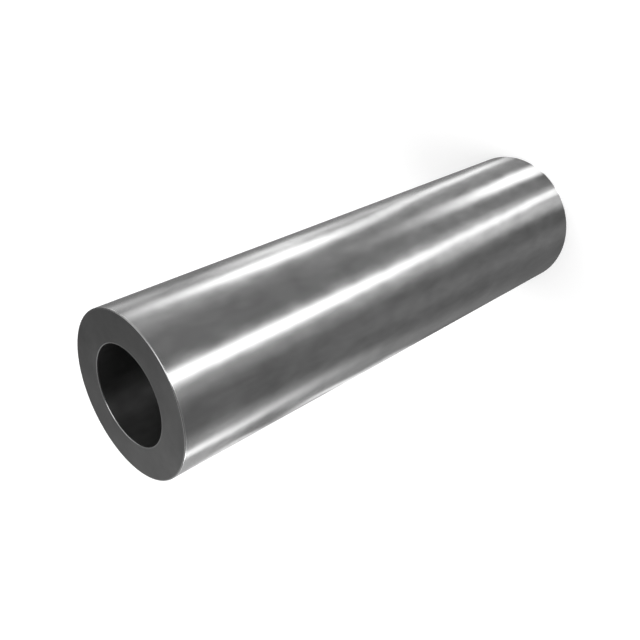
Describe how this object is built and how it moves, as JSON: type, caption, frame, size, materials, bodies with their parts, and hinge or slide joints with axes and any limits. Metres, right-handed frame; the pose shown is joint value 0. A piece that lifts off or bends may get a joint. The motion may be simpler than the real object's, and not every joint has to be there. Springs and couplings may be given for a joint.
{
  "type": "round spacer",
  "caption": "Plain round steel spacer: a straight thick-walled sleeve with a smooth through bore and square-cut ends, used to keep parts a set distance apart on a bolt or rod.",
  "frame": {"origin": "centre of the lower end face, on the axis of the bore", "axes": "+Z along the bore to the upper end face; X and Y are any two radii at right angles, because the part is round"},
  "size_m": [0.0158, 0.0158, 0.0571],
  "materials": {
    "steel": "plain bright steel, fine-turned outside, faced ends, darker reamed bore"
  },
  "bodies": {
    "root": {"spacer": "steel"}
  },
  "joints": []
}
